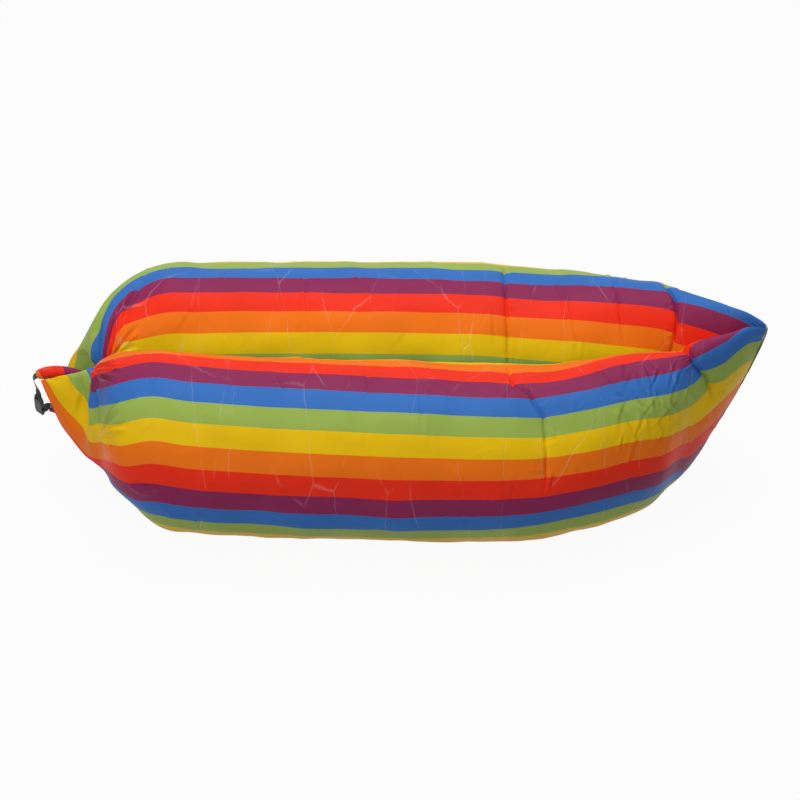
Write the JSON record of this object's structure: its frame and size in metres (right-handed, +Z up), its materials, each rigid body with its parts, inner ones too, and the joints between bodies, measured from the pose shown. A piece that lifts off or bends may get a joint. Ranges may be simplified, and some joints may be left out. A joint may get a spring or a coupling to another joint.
{
  "type": "inflatable air lounger",
  "caption": "Rainbow-striped air lounger: inflated fabric chambers side by side, raised stem, rolled mouth clipped into a ring by a side-release buckle.",
  "frame": {"origin": "on the ground, under the middle of the lounger's bounding box", "axes": "+X along the lounger towards the raised stem, +Y across it towards the right chamber, +Z up"},
  "size_m": [1.8616, 0.8912, 0.465],
  "materials": {
    "left_chamber_cloth": "coated polyester taffeta printed in rainbow stripes, slight sheen",
    "right_chamber_cloth": "coated polyester taffeta printed in rainbow stripes, slight sheen",
    "mouth_cloth": "the same striped taffeta, rolled up in layers",
    "seam_tape": "folded and sewn taffeta tape",
    "lip_strip_plastic": "flexible, satin",
    "buckle_plastic": "moulded black acetal, satin",
    "webbing": "woven black polypropylene"
  },
  "bodies": {
    "lounger": {"left_air_chamber": "left_chamber_cloth", "right_air_chamber": "right_chamber_cloth", "keel_seam": "seam_tape", "stem_seam": "seam_tape", "mouth_roll": "mouth_cloth", "upper_lip_strip": "lip_strip_plastic", "lower_lip_strip": "lip_strip_plastic", "buckle_socket": "buckle_plastic", "socket_webbing": "webbing", "plug_webbing": "webbing"},
    "plug": {"buckle_plug": "buckle_plastic"},
    "front_prong": {"front_release_prong": "buckle_plastic"},
    "rear_prong": {"rear_release_prong": "buckle_plastic"}
  },
  "joints": [
    {"name": "plug_slide", "type": "slide", "parent": "lounger", "child": "plug", "axis": [0, 0, 1], "range_m": [0, 0.026], "deforming": ["plug_webbing", "front_release_prong", "rear_release_prong"]},
    {"name": "front_prong_squeeze", "type": "hinge", "parent": "plug", "child": "front_prong", "pos_m": [-0.91486, -0.00116, 0.20605], "axis": [0.7071, 0.7071, 0], "range_deg": [0, 9.5], "stiffness_Nm_per_rad": 0.6},
    {"name": "rear_prong_squeeze", "type": "hinge", "parent": "plug", "child": "rear_prong", "pos_m": [-0.92518, 0.00916, 0.20605], "axis": [-0.7071, -0.7071, 0], "range_deg": [0, 9.5], "stiffness_Nm_per_rad": 0.6}
  ]
}
